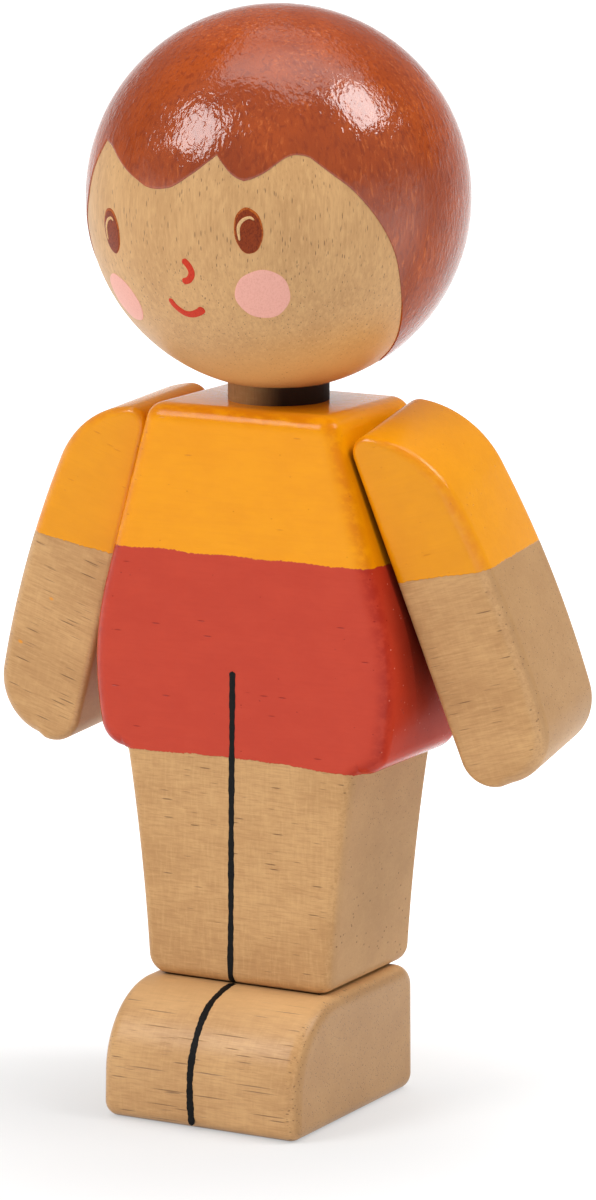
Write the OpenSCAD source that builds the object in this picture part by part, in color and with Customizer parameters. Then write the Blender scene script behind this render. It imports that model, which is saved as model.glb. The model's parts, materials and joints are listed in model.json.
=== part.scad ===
// Wooden child doll. A ball head turns on a neck peg, two arms swing on shoulder pegs,
// and the body, which is torso and legs in one block, is dowelled to a block of feet.
// Millimetres. The doll stands on z = 0 under its neck axis and faces -Y, so +X is its left side.

/* [Head] */
// Diameter of the ball
head_d = 30; // [26:0.5:34]
// Height between the torso and the ball, where the neck peg shows
neck_gap = 0.9; // [0.5:0.1:2]

/* [Torso] */
// Depth of the body block, front to back
body_depth = 13.5; // [12:0.5:16]
// Height from the hem of the shorts to the shoulders
torso_h = 28; // [26:0.5:32]
// Width across the top, between the sharp corners
shoulder_w = 17; // [16:0.5:19]
// Lean of the straight upper sides from upright, in degrees
side_lean = 14.4; // [13:0.2:16]
// Width across the hips, the widest place
hip_w = 25.8; // [25:0.1:27]
// Height of the widest place above the hem
hip_h = 6.8; // [6:0.2:8]
// Radius of the corner under each hip
hem_r = 2.3; // [1.6:0.1:2.8]
// Radius of the corner at each shoulder
shoulder_corner_r = 1.7; // [1.6:0.1:2.4]
// Rounding of the long edges of the torso
torso_edge_r = 1.2; // [0.6:0.1:1.3]

/* [Legs] */
// Height of the legs, from the feet to the hem
leg_h = 18; // [14:0.2:22]
// Width of the legs where they meet the feet
leg_bottom_w = 16.7; // [15:0.1:17.5]
// Width of the step on each side between the legs and the rounded hip
hem_ledge = 0.3; // [0.3:0.05:1]
// Radius in the inner corner of that step
hem_fillet_r = 0.2; // [0.1:0.05:0.25]
// Radius of the hollow curve of the legs' sides
leg_curve_r = 180; // [120:10:400]
// Radius of the corners at the bottom of the legs
leg_corner_r = 1.7; // [1.4:0.1:2.4]
// Rounding of the long edges of the legs
leg_edge_r = 1; // [0.6:0.1:1.1]

/* [Feet] */
// Width of the block of feet
feet_w = 17.6; // [16:0.2:19]
// Height of the block of feet
feet_h = 10.3; // [9:0.1:13]
// How far the toes stand out in front of the legs
toe_reach = 6.5; // [5:0.1:8]
// Radius of the curve over the toes
toe_r = 6.8; // [4:0.2:7.5]
// Radius of the corner at the top of the heel
heel_r = 1.8; // [1.5:0.1:2.6]
// Radius of the corners at the front and back of the sole
sole_r = 0.9; // [0.8:0.1:1.2]
// Rounding of the side edges of the feet
feet_edge_r = 1.2; // [0.8:0.1:1.6]
// Rounding of the side edges of the sole
sole_edge_r = 0.6; // [0.3:0.1:0.6]

/* [Arms] */
// Length of an arm
arm_len = 29.9; // [26:0.1:32]
// Depth of an arm, front to back
arm_depth = 10.1; // [8:0.1:11]
// Thickness of an arm below its shoulder
arm_upper_t = 7.2; // [6.8:0.1:8]
// Thickness of an arm at the hand
arm_hand_t = 7.9; // [7.4:0.1:9]
// Radius of the curve over the shoulder
shoulder_r = 8.5; // [7:0.1:10]
// Radius of the long curve of the outer face
arm_outer_r = 84; // [60:1:200]
// Radius of the inner corner at the top of an arm
arm_top_r = 1.5; // [1.1:0.1:2.2]
// Radius of the outer corner of the hand
hand_outer_r = 4.6; // [3:0.1:5]
// Radius of the inner corner of the hand
hand_inner_r = 2.6; // [1.4:0.1:3]
// Rounding of the outer edges of an arm
arm_edge_r = 1.2; // [0.6:0.1:2]
// Rounding of the edges along the inner face of an arm
arm_inner_edge_r = 0.6; // [0.4:0.1:0.9]
// Lean of an arm from upright, in degrees
arm_lean = 16.9; // [14.4:0.1:18]
// Gap between an arm and the side of the torso, at the peg
arm_gap = 0.4; // [0.35:0.05:0.8]
// Swing of the left arm from hanging straight, forwards positive, in degrees
left_arm_swing = -9.8; // [-30:0.1:30]
// Swing of the right arm from hanging straight, forwards positive, in degrees
right_arm_swing = -3.8; // [-30:0.1:30]

/* [Pegs and dowels] */
// Diameter of the neck peg
neck_peg_d = 8; // [6:0.5:9]
// Length of the neck peg inside the head
neck_peg_in_head = 9; // [6:0.5:14]
// Length of the neck peg inside the torso
neck_peg_in_body = 4; // [3:0.5:4.5]
// Diameter of a shoulder peg
shoulder_peg_d = 5; // [4:0.5:5.5]
// Length of a shoulder peg inside the torso
shoulder_peg_in_body = 5; // [4:0.5:5.5]
// Length of a shoulder peg inside an arm
shoulder_peg_in_arm = 5; // [3:0.5:5.5]
// Distance of a shoulder peg below the top of the torso, along its side
shoulder_peg_drop = 7; // [6.8:0.2:9]
// Distance of a shoulder peg behind the middle of the torso
shoulder_peg_back = 0.6; // [-1:0.1:1]
// Distance of a shoulder peg below the top of its arm
arm_peg_drop = 6.3; // [5:0.1:8]
// Diameter of a foot dowel
foot_dowel_d = 4; // [3:0.5:5]
// Length of a foot dowel inside the legs
foot_dowel_in_leg = 8; // [5:0.5:10]
// Length of a foot dowel inside the feet
foot_dowel_in_feet = 6; // [4:0.5:7.5]
// Distance between the foot dowels
foot_dowel_pitch = 8; // [7:0.5:9]

/* [Fits] */
// Radial clearance of a peg that turns
turning_gap = 0.05; // [0.02:0.01:0.1]
// Radial clearance of a glued peg or dowel
glue_gap = 0.02; // [0.01:0.01:0.05]
// Space left at the blind end of each hole
end_gap = 0.3; // [0.1:0.1:1]

/* [Hidden] */

// Heights up the doll
hem_z = feet_h + leg_h;
hip_z = hem_z + hip_h;
body_top_z = hem_z + torso_h;
head_bottom_z = body_top_z + neck_gap;
head_z = head_bottom_z + head_d / 2;

// Smoothness: steps across a rounded edge, how far a straight step may cut inside a curve,
// the least step along an outline, and the sides of the round solids
edge_steps = 5;
curve_tolerance = 0.015;
least_step = 0.001;
round_fn = 96;

// Colours
wood = "burlywood";
peg_wood = "tan";
hair_brown = "sienna";
shorts_red = "indianred";
shirt_yellow = "orange";

// A stretch of outline on a circle, as [point, outward normal, edge rounding] items.
// A negative radius is a hollow curve, whose normal points at the circle's centre.
// The edge rounding runs from edge_r to last_edge_r, where that is given.
function arc(centre, r, from, to, edge_r, last_edge_r) =
    let (widest_step = 2 * acos(1 - curve_tolerance / abs(r)))
    let (steps = max(2, ceil(abs(to - from) / widest_step)))
    let (edge_change = is_undef(last_edge_r) ? 0 : last_edge_r - edge_r)
    [
        for (i = [0:steps])
            let (a = from + (to - from) * i / steps)
            let (out = [cos(a), sin(a)])
            [centre + abs(r) * out, sign(r) * out, edge_r + edge_change * i / steps]
    ];

// Direction square to the outer tangent from circle p to circle q, each [x, y, r]
function tangent_angle(p, q) =
    let (dx = q.x - p.x)
    let (dy = q.y - p.y)
    let (ratio = (p.z - q.z) / norm([dx, dy]))
    atan2(dy, dx) - acos(max(-1, min(1, ratio)));

// An outline that runs anticlockwise round circles, joined by tangents. A circle is
// [x, y, r, edge rounding], with one more edge rounding where it changes round that circle.
function round_circles(circles) =
    let (n = len(circles))
    let (turn = [for (i = [0:n - 1]) tangent_angle(circles[i], circles[(i + 1) % n])])
    [
        for (i = [0:n - 1])
            let (c = circles[i])
            let (from = turn[(i + n - 1) % n])
            let (sweep = (turn[i] - from + 720) % 360)
            each arc([c.x, c.y], c.z, from, from + sweep, c[3], c[4])
    ];

// Circle of radius r that holds circles p and q and touches both, on the left of the way from p to q
function circle_round(p, q, r) =
    let (way = [q.x - p.x, q.y - p.y])
    let (far = norm(way))
    let (along = (pow(r - p.z, 2) - pow(r - q.z, 2) + far * far) / (2 * far))
    let (across = sqrt(pow(r - p.z, 2) - along * along))
    let (ahead = way / far)
    [p.x + ahead.x * along - ahead.y * across, p.y + ahead.y * along + ahead.x * across, r];

// The same outline, mirrored and run the other way
function mirrored(outline) = [
    for (i = [len(outline) - 1:-1:0])
        let (p = outline[i])
        [[-p[0].x, p[0].y], [-p[1].x, p[1].y], p[2]]
];

// The outline without the points that repeat the one before, where one curve runs into the next
function without_repeats(outline) =
    let (n = len(outline))
    [
        for (i = [0:n - 1])
            let (before = outline[(i + n - 1) % n])
            if (norm(outline[i][0] - before[0]) > least_step)
                outline[i]
    ];

// A slab of the outline's shape, centred on z = 0, with rounded edges
module rounded_slab(outline, thickness) {
    ring = without_repeats(outline);
    n = len(ring);
    quarter = [for (k = [0:edge_steps]) 90 * k / edge_steps];
    turns = concat([for (k = [edge_steps:-1:0]) [-1, -quarter[k]]], [for (a = quarter) [1, a]]);
    points = [
        for (t = turns)
            for (p = ring)
                let (r = p[2])
                let (flat = p[0] - p[1] * r * (1 - cos(t[1])))
                [flat.x, flat.y, t[0] * (thickness / 2 - r) + r * sin(t[1])]
    ];
    last = len(turns) - 1;
    sides = [
        for (k = [0:last - 1])
            for (i = [0:n - 1])
                let (j = (i + 1) % n)
                each [
                    [k * n + i, (k + 1) * n + i, (k + 1) * n + j],
                    [k * n + i, (k + 1) * n + j, k * n + j]
                ]
    ];
    under = [for (i = [0:n - 1]) i];
    over = [for (i = [n - 1:-1:0]) last * n + i];
    polyhedron(points, concat([under, over], sides));
}

// A peg or hole of radius r along +Z, from z = from to z = to
module round_bar(r, from, to) {
    translate([0, 0, from])
        cylinder(r = r, h = to - from, $fn = round_fn);
}

// Places an upright arm, or its peg, on the left side of the torso at a swing.
// Its origin lies on the peg's axis at the torso's side, its local X runs out along
// the peg, and its local Z runs up the arm.
module at_left_shoulder(swing) {
    translate([
        shoulder_w / 2 + shoulder_peg_drop * sin(side_lean),
        shoulder_peg_back,
        body_top_z - shoulder_peg_drop * cos(side_lean)
    ])
        rotate([0, -arm_lean, 0])
            rotate([-swing, 0, 0])
                children();
}

// The same on the right side
module at_right_shoulder(swing) {
    mirror([1, 0, 0])
        at_left_shoulder(swing)
            children();
}

// A bar along a shoulder peg's axis, from inside the torso at from to inside the arm at to
module shoulder_bar(r, from, to) {
    rotate([0, 90, 0])
        round_bar(r, from, to);
}

// A bar along the left foot dowel's axis
module left_foot_bar(r, from, to) {
    translate([foot_dowel_pitch / 2, 0, 0])
        round_bar(r, from, to);
}

// Right half of the body's front outline, from the feet to the shoulder
function body_half() =
    // The hip's long curve touches the straight side and stands upright at the hip
    let (side_reach = shoulder_w / 2 * cos(side_lean) + body_top_z * sin(side_lean))
    let (hip_reach = hip_w / 2 * cos(side_lean) + hip_z * sin(side_lean))
    let (hip_r = (side_reach - hip_reach) / (1 - cos(side_lean)))
    let (hip = [hip_w / 2 - hip_r, hip_z])
    // The corner under the hip lies inside that curve and on the hem
    let (hem_y = hem_z + hem_r)
    let (hem = [hip.x + sqrt(pow(hip_r - hem_r, 2) - pow(hip.y - hem_y, 2)), hem_y])
    let (hem_to_hip = hem - hip)
    // The hollow side of the legs bends about a far centre, from the feet to the hem
    let (leg_foot = [leg_bottom_w / 2, feet_h])
    let (leg_top = [hem.x - hem_ledge, hem_z])
    let (leg_run = leg_top - leg_foot)
    let (leg_out = [leg_run.y, -leg_run.x] / norm(leg_run))
    let (leg_sag = sqrt(pow(leg_curve_r, 2) - pow(norm(leg_run) / 2, 2)))
    let (leg = (leg_foot + leg_top) / 2 + leg_out * leg_sag)
    // The step at the hem is filled by a small hollow curve inside the legs' one
    let (fillet_y = hem_z - hem_fillet_r)
    let (fillet_run = sqrt(pow(leg_curve_r - hem_fillet_r, 2) - pow(leg.y - fillet_y, 2)))
    let (fillet = [leg.x - fillet_run, fillet_y])
    let (fillet_way = fillet - leg)
    // The corner at the bottom of the legs touches the feet and the legs' curve
    let (corner_y = feet_h + leg_corner_r)
    let (corner_run = sqrt(pow(leg_curve_r + leg_corner_r, 2) - pow(leg.y - corner_y, 2)))
    let (corner = [leg.x - corner_run, corner_y])
    let (corner_way = leg - corner)
    let (corner_turn = atan2(corner_way.y, corner_way.x))
    let (fillet_turn = (atan2(fillet_way.y, fillet_way.x) + 360) % 360)
    // The shoulder's corner touches the straight side and the top
    let (top_y = body_top_z - shoulder_corner_r)
    let (top_x = (side_reach - shoulder_corner_r - top_y * sin(side_lean)) / cos(side_lean))
    let (hip_turn = atan2(hem_to_hip.y, hem_to_hip.x))
    concat(
        arc(corner, leg_corner_r, -90, corner_turn, leg_edge_r),
        arc(leg, -leg_curve_r, corner_turn + 180, fillet_turn, leg_edge_r),
        arc(fillet, -hem_fillet_r, fillet_turn, 90, leg_edge_r),
        arc(hem, hem_r, -90, hip_turn, torso_edge_r),
        arc(hip, hip_r, hip_turn, side_lean, torso_edge_r),
        arc([top_x, top_y], shoulder_corner_r, side_lean, 90, torso_edge_r)
    );

// Outline of an upright arm seen from the front, with its peg's axis at the origin
// and its inner face along x = arm_gap
function arm_outline() =
    let (top_corner = [arm_gap + arm_top_r, arm_peg_drop - arm_top_r])
    let (hand_z = arm_peg_drop - arm_len)
    // The shoulder's curve touches the top corner from outside
    let (shoulder_x = arm_gap + arm_upper_t - shoulder_r)
    let (shoulder_rise = sqrt(pow(shoulder_r - arm_top_r, 2) - pow(shoulder_x - top_corner.x, 2)))
    let (shoulder = [shoulder_x, top_corner.y - shoulder_rise, shoulder_r])
    let (hand = [arm_gap + arm_hand_t - hand_outer_r, hand_z + hand_outer_r, hand_outer_r])
    let (outer = circle_round(hand, shoulder, arm_outer_r))
    round_circles([
        concat(hand, arm_edge_r),
        concat(outer, arm_edge_r),
        concat(shoulder, arm_edge_r, arm_inner_edge_r),
        concat(top_corner, arm_top_r, arm_inner_edge_r),
        [arm_gap + hand_inner_r, hand_z + hand_inner_r, hand_inner_r, arm_inner_edge_r]
    ]);

// Outline of the feet seen from the doll's left, with the toes towards -Y
function feet_outline() =
    let (toe_y = -body_depth / 2 - toe_reach)
    let (heel_y = body_depth / 2)
    round_circles([
        [heel_y - sole_r, sole_r, sole_r, sole_edge_r],
        [heel_y - heel_r, feet_h - heel_r, heel_r, feet_edge_r],
        [toe_y + toe_r, feet_h - toe_r, toe_r, feet_edge_r],
        [toe_y + sole_r, sole_r, sole_r, sole_edge_r]
    ]);

module head() {
    color(hair_brown)
        difference() {
            translate([0, 0, head_z])
                sphere(d = head_d, $fn = round_fn);
            round_bar(
                neck_peg_d / 2 + glue_gap,
                body_top_z,
                head_bottom_z + neck_peg_in_head + end_gap
            );
        }
}

module neck_peg() {
    color(peg_wood)
        round_bar(neck_peg_d / 2, body_top_z - neck_peg_in_body, head_bottom_z + neck_peg_in_head);
}

module body() {
    half = body_half();
    shoulder_hole_r = shoulder_peg_d / 2 + turning_gap;
    shoulder_hole_end = -shoulder_peg_in_body - end_gap;
    color(shorts_red)
        difference() {
            rotate([90, 0, 0])
                rounded_slab(concat(half, mirrored(half)), body_depth);
            round_bar(
                neck_peg_d / 2 + turning_gap,
                body_top_z - neck_peg_in_body - end_gap,
                head_bottom_z
            );
            at_left_shoulder(0)
                shoulder_bar(shoulder_hole_r, shoulder_hole_end, shoulder_peg_in_arm);
            at_right_shoulder(0)
                shoulder_bar(shoulder_hole_r, shoulder_hole_end, shoulder_peg_in_arm);
            for (side = [0, 1])
                mirror([side, 0, 0])
                    left_foot_bar(
                        foot_dowel_d / 2 + glue_gap,
                        feet_h - foot_dowel_in_feet,
                        feet_h + foot_dowel_in_leg + end_gap
                    );
        }
}

// An upright arm with the hole for its peg, before it is placed at a shoulder
module arm() {
    difference() {
        rotate([90, 0, 0])
            rounded_slab(arm_outline(), arm_depth);
        shoulder_bar(
            shoulder_peg_d / 2 + glue_gap,
            -shoulder_peg_in_body,
            arm_gap + shoulder_peg_in_arm + end_gap
        );
    }
}

module left_arm() {
    color(shirt_yellow)
        at_left_shoulder(left_arm_swing)
            arm();
}

module right_arm() {
    color(shirt_yellow)
        at_right_shoulder(right_arm_swing)
            arm();
}

module shoulder_peg() {
    shoulder_bar(shoulder_peg_d / 2, -shoulder_peg_in_body, arm_gap + shoulder_peg_in_arm);
}

module left_shoulder_peg() {
    color(peg_wood)
        at_left_shoulder(left_arm_swing)
            shoulder_peg();
}

module right_shoulder_peg() {
    color(peg_wood)
        at_right_shoulder(right_arm_swing)
            shoulder_peg();
}

module feet() {
    color(wood)
        difference() {
            rotate([90, 0, 90])
                rounded_slab(feet_outline(), feet_w);
            for (side = [0, 1])
                mirror([side, 0, 0])
                    left_foot_bar(
                        foot_dowel_d / 2 + glue_gap,
                        feet_h - foot_dowel_in_feet - end_gap,
                        feet_h + foot_dowel_in_leg
                    );
        }
}

module left_foot_dowel() {
    color(peg_wood)
        left_foot_bar(foot_dowel_d / 2, feet_h - foot_dowel_in_feet, feet_h + foot_dowel_in_leg);
}

module right_foot_dowel() {
    color(peg_wood)
        mirror([1, 0, 0])
            left_foot_bar(foot_dowel_d / 2, feet_h - foot_dowel_in_feet, feet_h + foot_dowel_in_leg);
}

head();
neck_peg();
body();
left_arm();
right_arm();
left_shoulder_peg();
right_shoulder_peg();
feet();
left_foot_dowel();
right_foot_dowel();
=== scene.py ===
# Wooden child doll: the finish of every piece, a studio floor and light, and the photograph's camera.
# Sizes are in millimetres, as in the part's source, and meshes are written in metres.
import json
import math

import bpy
from mathutils import Matrix, Vector


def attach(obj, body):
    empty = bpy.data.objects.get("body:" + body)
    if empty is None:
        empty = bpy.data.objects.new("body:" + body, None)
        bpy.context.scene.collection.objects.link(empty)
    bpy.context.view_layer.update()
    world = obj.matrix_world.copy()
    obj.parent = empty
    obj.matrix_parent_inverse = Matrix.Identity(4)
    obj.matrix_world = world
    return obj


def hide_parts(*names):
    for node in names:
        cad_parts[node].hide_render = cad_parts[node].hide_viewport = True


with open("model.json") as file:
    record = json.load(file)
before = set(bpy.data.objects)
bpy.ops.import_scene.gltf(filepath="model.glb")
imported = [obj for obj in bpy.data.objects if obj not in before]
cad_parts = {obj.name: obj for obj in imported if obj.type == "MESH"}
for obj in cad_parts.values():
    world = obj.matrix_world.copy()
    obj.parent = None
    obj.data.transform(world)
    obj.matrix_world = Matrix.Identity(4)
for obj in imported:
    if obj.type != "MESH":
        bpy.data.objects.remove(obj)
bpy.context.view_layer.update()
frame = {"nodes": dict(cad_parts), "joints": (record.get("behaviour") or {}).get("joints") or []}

MM = 0.001

# Head and neck
HEAD_R = 15.0
NECK_GAP = 0.9
NECK_BORE_R = 4.02
NECK_BORE_DEPTH = 9.3

# Torso and legs
BODY_DEPTH = 13.5
TORSO_H = 28.0
SHOULDER_W = 16.64
SIDE_LEAN = 15.8
HIP_W = 26.7
HIP_H = 6.8
HEM_R = 2.3
SHOULDER_CORNER_R = 1.7
TORSO_EDGE_R = 1.4
LEG_H = 18.0
LEG_BOTTOM_W = 16.7
HEM_LEDGE = 0.3
HEM_FILLET_R = 0.2
LEG_CURVE_R = 180.0
LEG_CORNER_R = 1.7
LEG_EDGE_R = 1.0

# Feet
FEET_W = 17.6
FEET_H = 10.3
TOE_REACH = 6.5
TOE_R = 6.8
HEEL_R = 1.8
SOLE_R = 1.3
FEET_EDGE_R = 1.2
SOLE_EDGE_R = 1.1

# Arms
ARM_LEN = 29.6
ARM_DEPTH = 10.5
ARM_FORWARD = 0.2
ARM_UPPER_T = 7.35
ARM_HAND_T = 8.05
SHOULDER_R = 8.5
ARM_OUTER_R = 84.0
ARM_TOP_R = 1.5
HAND_OUTER_R = 4.6
HAND_INNER_R = 2.6
ARM_EDGE_R = 1.2
ARM_INNER_EDGE_R = 0.6
ARM_LEAN = 16.9
ARM_GAP = 0.25
LEFT_ARM_SWING = -9.8
RIGHT_ARM_SWING = -3.8
ARM_PEG_DROP = 6.0

# Heights up the doll
HEM_Z = FEET_H + LEG_H
HIP_Z = HEM_Z + HIP_H
BODY_TOP_Z = HEM_Z + TORSO_H
HEAD_Z = BODY_TOP_Z + NECK_GAP + HEAD_R

# Paint lines: where the shirt ends and the arch of the shorts' hem
SHIRT_Z = 44.75
HEM_PAINT_Z = 28.15
HEM_ARCH = 0.5

# A sleeve's end below its peg, how far it drops per millimetre outward, and per millimetre backward
LEFT_SLEEVE = (-6.11, 0.093, 0.069)
RIGHT_SLEEVE = (-6.5, 0.127, 0.069)

# Smoothness of the meshes
EDGE_STEPS = 8
CURVE_TOLERANCE = 0.002
CAP_RIM = 0.15
ROUND_SIDES = 160
BALL_ROWS = 80
SHARP_ANGLE = 50.0


def joint_place(name):
    """Where a joint of the frame sits, in millimetres."""
    joint = next(j for j in frame["joints"] if j["name"] == name)
    return Vector(joint["pos_m"]) / MM


SHOULDER_PIVOT = joint_place("left_shoulder")


def srgb(red, green, blue):
    """A colour from its 0 to 255 screen values, as the linear values that a shader takes."""
    def linear(value):
        part = value / 255
        return part / 12.92 if part <= 0.04045 else ((part + 0.055) / 1.055) ** 2.4
    return (linear(red), linear(green), linear(blue), 1.0)


# Outlines: lists of (point, outward normal, edge rounding), anticlockwise

def arc(centre, r, start, end, edge, last_edge=None):
    """A stretch of outline on a circle, in degrees. A negative radius is a hollow curve."""
    size = abs(r)
    widest_step = math.degrees(2 * math.acos(1 - CURVE_TOLERANCE / size))
    steps = max(3, math.ceil(abs(end - start) / widest_step))
    change = 0 if last_edge is None else last_edge - edge
    items = []
    for i in range(steps + 1):
        a = math.radians(start + (end - start) * i / steps)
        out = Vector((math.cos(a), math.sin(a)))
        items.append((Vector(centre) + size * out, math.copysign(1, r) * out, edge + change * i / steps))
    return items


def tangent_angle(p, q):
    """Direction square to the outer tangent from circle p to circle q, each (x, y, r, ...)."""
    dx = q[0] - p[0]
    dy = q[1] - p[1]
    ratio = (p[2] - q[2]) / math.hypot(dx, dy)
    return math.degrees(math.atan2(dy, dx) - math.acos(max(-1, min(1, ratio))))


def round_circles(circles):
    """An outline round circles (x, y, r, edge rounding, rounding at its end), joined by tangents."""
    n = len(circles)
    turns = [tangent_angle(circles[i], circles[(i + 1) % n]) for i in range(n)]
    items = []
    for i, (x, y, r, *edges) in enumerate(circles):
        start = turns[i - 1]
        sweep = (turns[i] - start + 720) % 360
        items += arc((x, y), r, start, start + sweep, *edges)
    return items


def circle_round(p, q, r):
    """Centre of the circle of radius r that holds circles p and q, on the left of the way from p to q."""
    start = Vector(p[:2])
    way = Vector(q[:2]) - start
    far = way.length
    along = ((r - p[2]) ** 2 - (r - q[2]) ** 2 + far * far) / (2 * far)
    across = math.sqrt((r - p[2]) ** 2 - along * along)
    ahead = way / far
    return start + ahead * along + Vector((-ahead.y, ahead.x)) * across


def body_outline():
    """The body seen from the front, in x and z."""
    lean = math.radians(SIDE_LEAN)
    side_reach = SHOULDER_W / 2 * math.cos(lean) + BODY_TOP_Z * math.sin(lean)
    hip_reach = HIP_W / 2 * math.cos(lean) + HIP_Z * math.sin(lean)
    hip_r = (side_reach - hip_reach) / (1 - math.cos(lean))
    hip = Vector((HIP_W / 2 - hip_r, HIP_Z))
    hem_y = HEM_Z + HEM_R
    hem = Vector((hip.x + math.sqrt((hip_r - HEM_R) ** 2 - (hip.y - hem_y) ** 2), hem_y))
    hip_turn = math.degrees(math.atan2(hem.y - hip.y, hem.x - hip.x))
    leg_foot = Vector((LEG_BOTTOM_W / 2, FEET_H))
    leg_top = Vector((hem.x - HEM_LEDGE, HEM_Z))
    leg_run = leg_top - leg_foot
    leg_out = Vector((leg_run.y, -leg_run.x)).normalized()
    leg_sag = math.sqrt(LEG_CURVE_R ** 2 - (leg_run.length / 2) ** 2)
    leg = (leg_foot + leg_top) / 2 + leg_out * leg_sag
    fillet_y = HEM_Z - HEM_FILLET_R
    fillet_run = math.sqrt((LEG_CURVE_R - HEM_FILLET_R) ** 2 - (leg.y - fillet_y) ** 2)
    fillet = Vector((leg.x - fillet_run, fillet_y))
    fillet_turn = math.degrees(math.atan2(fillet.y - leg.y, fillet.x - leg.x)) % 360
    corner_y = FEET_H + LEG_CORNER_R
    corner_run = math.sqrt((LEG_CURVE_R + LEG_CORNER_R) ** 2 - (leg.y - corner_y) ** 2)
    corner = Vector((leg.x - corner_run, corner_y))
    corner_turn = math.degrees(math.atan2(leg.y - corner.y, leg.x - corner.x))
    top_y = BODY_TOP_Z - SHOULDER_CORNER_R
    top_x = (side_reach - SHOULDER_CORNER_R - top_y * math.sin(lean)) / math.cos(lean)
    half = (
        arc(corner, LEG_CORNER_R, -90, corner_turn, LEG_EDGE_R)
        + arc(leg, -LEG_CURVE_R, corner_turn + 180, fillet_turn, LEG_EDGE_R)
        + arc(fillet, -HEM_FILLET_R, fillet_turn, 90, LEG_EDGE_R)
        + arc(hem, HEM_R, -90, hip_turn, TORSO_EDGE_R)
        + arc(hip, hip_r, hip_turn, SIDE_LEAN, TORSO_EDGE_R)
        + arc((top_x, top_y), SHOULDER_CORNER_R, SIDE_LEAN, 90, TORSO_EDGE_R)
    )
    other = [(Vector((-p.x, p.y)), Vector((-n.x, n.y)), edge) for p, n, edge in reversed(half)]
    return half + other


def arm_outline():
    """An upright arm seen from the front, with its peg's axis at the origin."""
    top = (ARM_GAP + ARM_TOP_R, ARM_PEG_DROP - ARM_TOP_R)
    hand_z = ARM_PEG_DROP - ARM_LEN
    shoulder_x = ARM_GAP + ARM_UPPER_T - SHOULDER_R
    shoulder_rise = math.sqrt((SHOULDER_R - ARM_TOP_R) ** 2 - (shoulder_x - top[0]) ** 2)
    shoulder = (shoulder_x, top[1] - shoulder_rise, SHOULDER_R)
    hand = (ARM_GAP + ARM_HAND_T - HAND_OUTER_R, hand_z + HAND_OUTER_R, HAND_OUTER_R)
    outer = circle_round(hand, shoulder, ARM_OUTER_R)
    return round_circles([
        (*hand, ARM_EDGE_R),
        (*outer, ARM_OUTER_R, ARM_EDGE_R),
        (*shoulder, ARM_EDGE_R, ARM_INNER_EDGE_R),
        (*top, ARM_TOP_R, ARM_INNER_EDGE_R),
        (ARM_GAP + HAND_INNER_R, hand_z + HAND_INNER_R, HAND_INNER_R, ARM_INNER_EDGE_R),
    ])


TOE_Y = -BODY_DEPTH / 2 - TOE_REACH
HEEL_Y = BODY_DEPTH / 2


def feet_outline():
    """The feet seen from the doll's left, in y and z, with the toes towards -Y."""
    return round_circles([
        (HEEL_Y - SOLE_R, SOLE_R, SOLE_R, SOLE_EDGE_R),
        (HEEL_Y - HEEL_R, FEET_H - HEEL_R, HEEL_R, FEET_EDGE_R),
        (TOE_Y + TOE_R, FEET_H - TOE_R, TOE_R, FEET_EDGE_R),
        (TOE_Y + SOLE_R, SOLE_R, SOLE_R, SOLE_EDGE_R),
    ])


# Meshes

def rounded_slab(outline, thickness, place):
    """Points and faces of a slab with rounded edges. place turns (x, y, z) of the slab into a point."""
    ring = [
        item for before, item in zip(outline[-1:] + outline[:-1], outline)
        if (item[0] - before[0]).length > CURVE_TOLERANCE
    ]
    n = len(ring)
    half = [(1, 90 * k / EDGE_STEPS, 0) for k in range(EDGE_STEPS + 1)] + [(1, 90, CAP_RIM)]
    turns = [(-side, -angle, rim) for side, angle, rim in reversed(half)] + half
    points = []
    for side, angle, rim in turns:
        a = math.radians(angle)
        for p, normal, edge in ring:
            flat = p - normal * (edge * (1 - math.cos(a)) + rim)
            points.append(place(flat.x, flat.y, side * (thickness / 2 - edge) + edge * math.sin(a)))
    faces = [tuple(reversed(range(n))), tuple(range(len(points) - n, len(points)))]
    for k in range(len(turns) - 1):
        for i in range(n):
            j = (i + 1) % n
            faces.append((k * n + i, k * n + j, (k + 1) * n + j, (k + 1) * n + i))
    return points, faces


def capped_rings(first, rings, last):
    """Points and faces of a closed shape: rings of equal length between two end points."""
    n = len(rings[0])
    points = [first] + [p for ring in rings for p in ring] + [last]
    end = len(points) - 1
    faces = []
    for i in range(n):
        j = (i + 1) % n
        faces.append((0, 1 + i, 1 + j))
        for k in range(len(rings) - 1):
            a = 1 + k * n
            faces.append((a + i, a + n + i, a + n + j, a + j))
        faces.append((end, end - n + j, end - n + i))
    return points, faces


def lathe(profile):
    """Points and faces of a solid turned about Z from (radius, z) pairs, both ends on the axis."""
    turns = [2 * math.pi * i / ROUND_SIDES for i in range(ROUND_SIDES)]
    rings = [[Vector((r * math.cos(a), r * math.sin(a), z)) for a in turns] for r, z in profile[1:-1]]
    return capped_rings(Vector((0, 0, profile[0][1])), rings, Vector((0, 0, profile[-1][1])))


def ribbon(path, widths, lift, sink):
    """A painted stroke along path, which lists (point, surface normal), as a low closed bar."""
    section = [(-1, -sink), (-1, 0.5 * lift), (-0.7, lift), (0.7, lift), (1, 0.5 * lift), (1, -sink)]
    n = len(section)
    count = len(path)
    points = []
    for i, (p, normal) in enumerate(path):
        ahead = path[min(i + 1, count - 1)][0] - path[max(i - 1, 0)][0]
        side = ahead.cross(normal).normalized() * (widths[i] / 2)
        points += [p + side * across + normal * up for across, up in section]
    faces = [tuple(range(n)), tuple(reversed(range(len(points) - n, len(points))))]
    for k in range(count - 1):
        for i in range(n):
            j = (i + 1) % n
            faces.append((k * n + i, (k + 1) * n + i, (k + 1) * n + j, k * n + j))
    return points, faces


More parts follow.
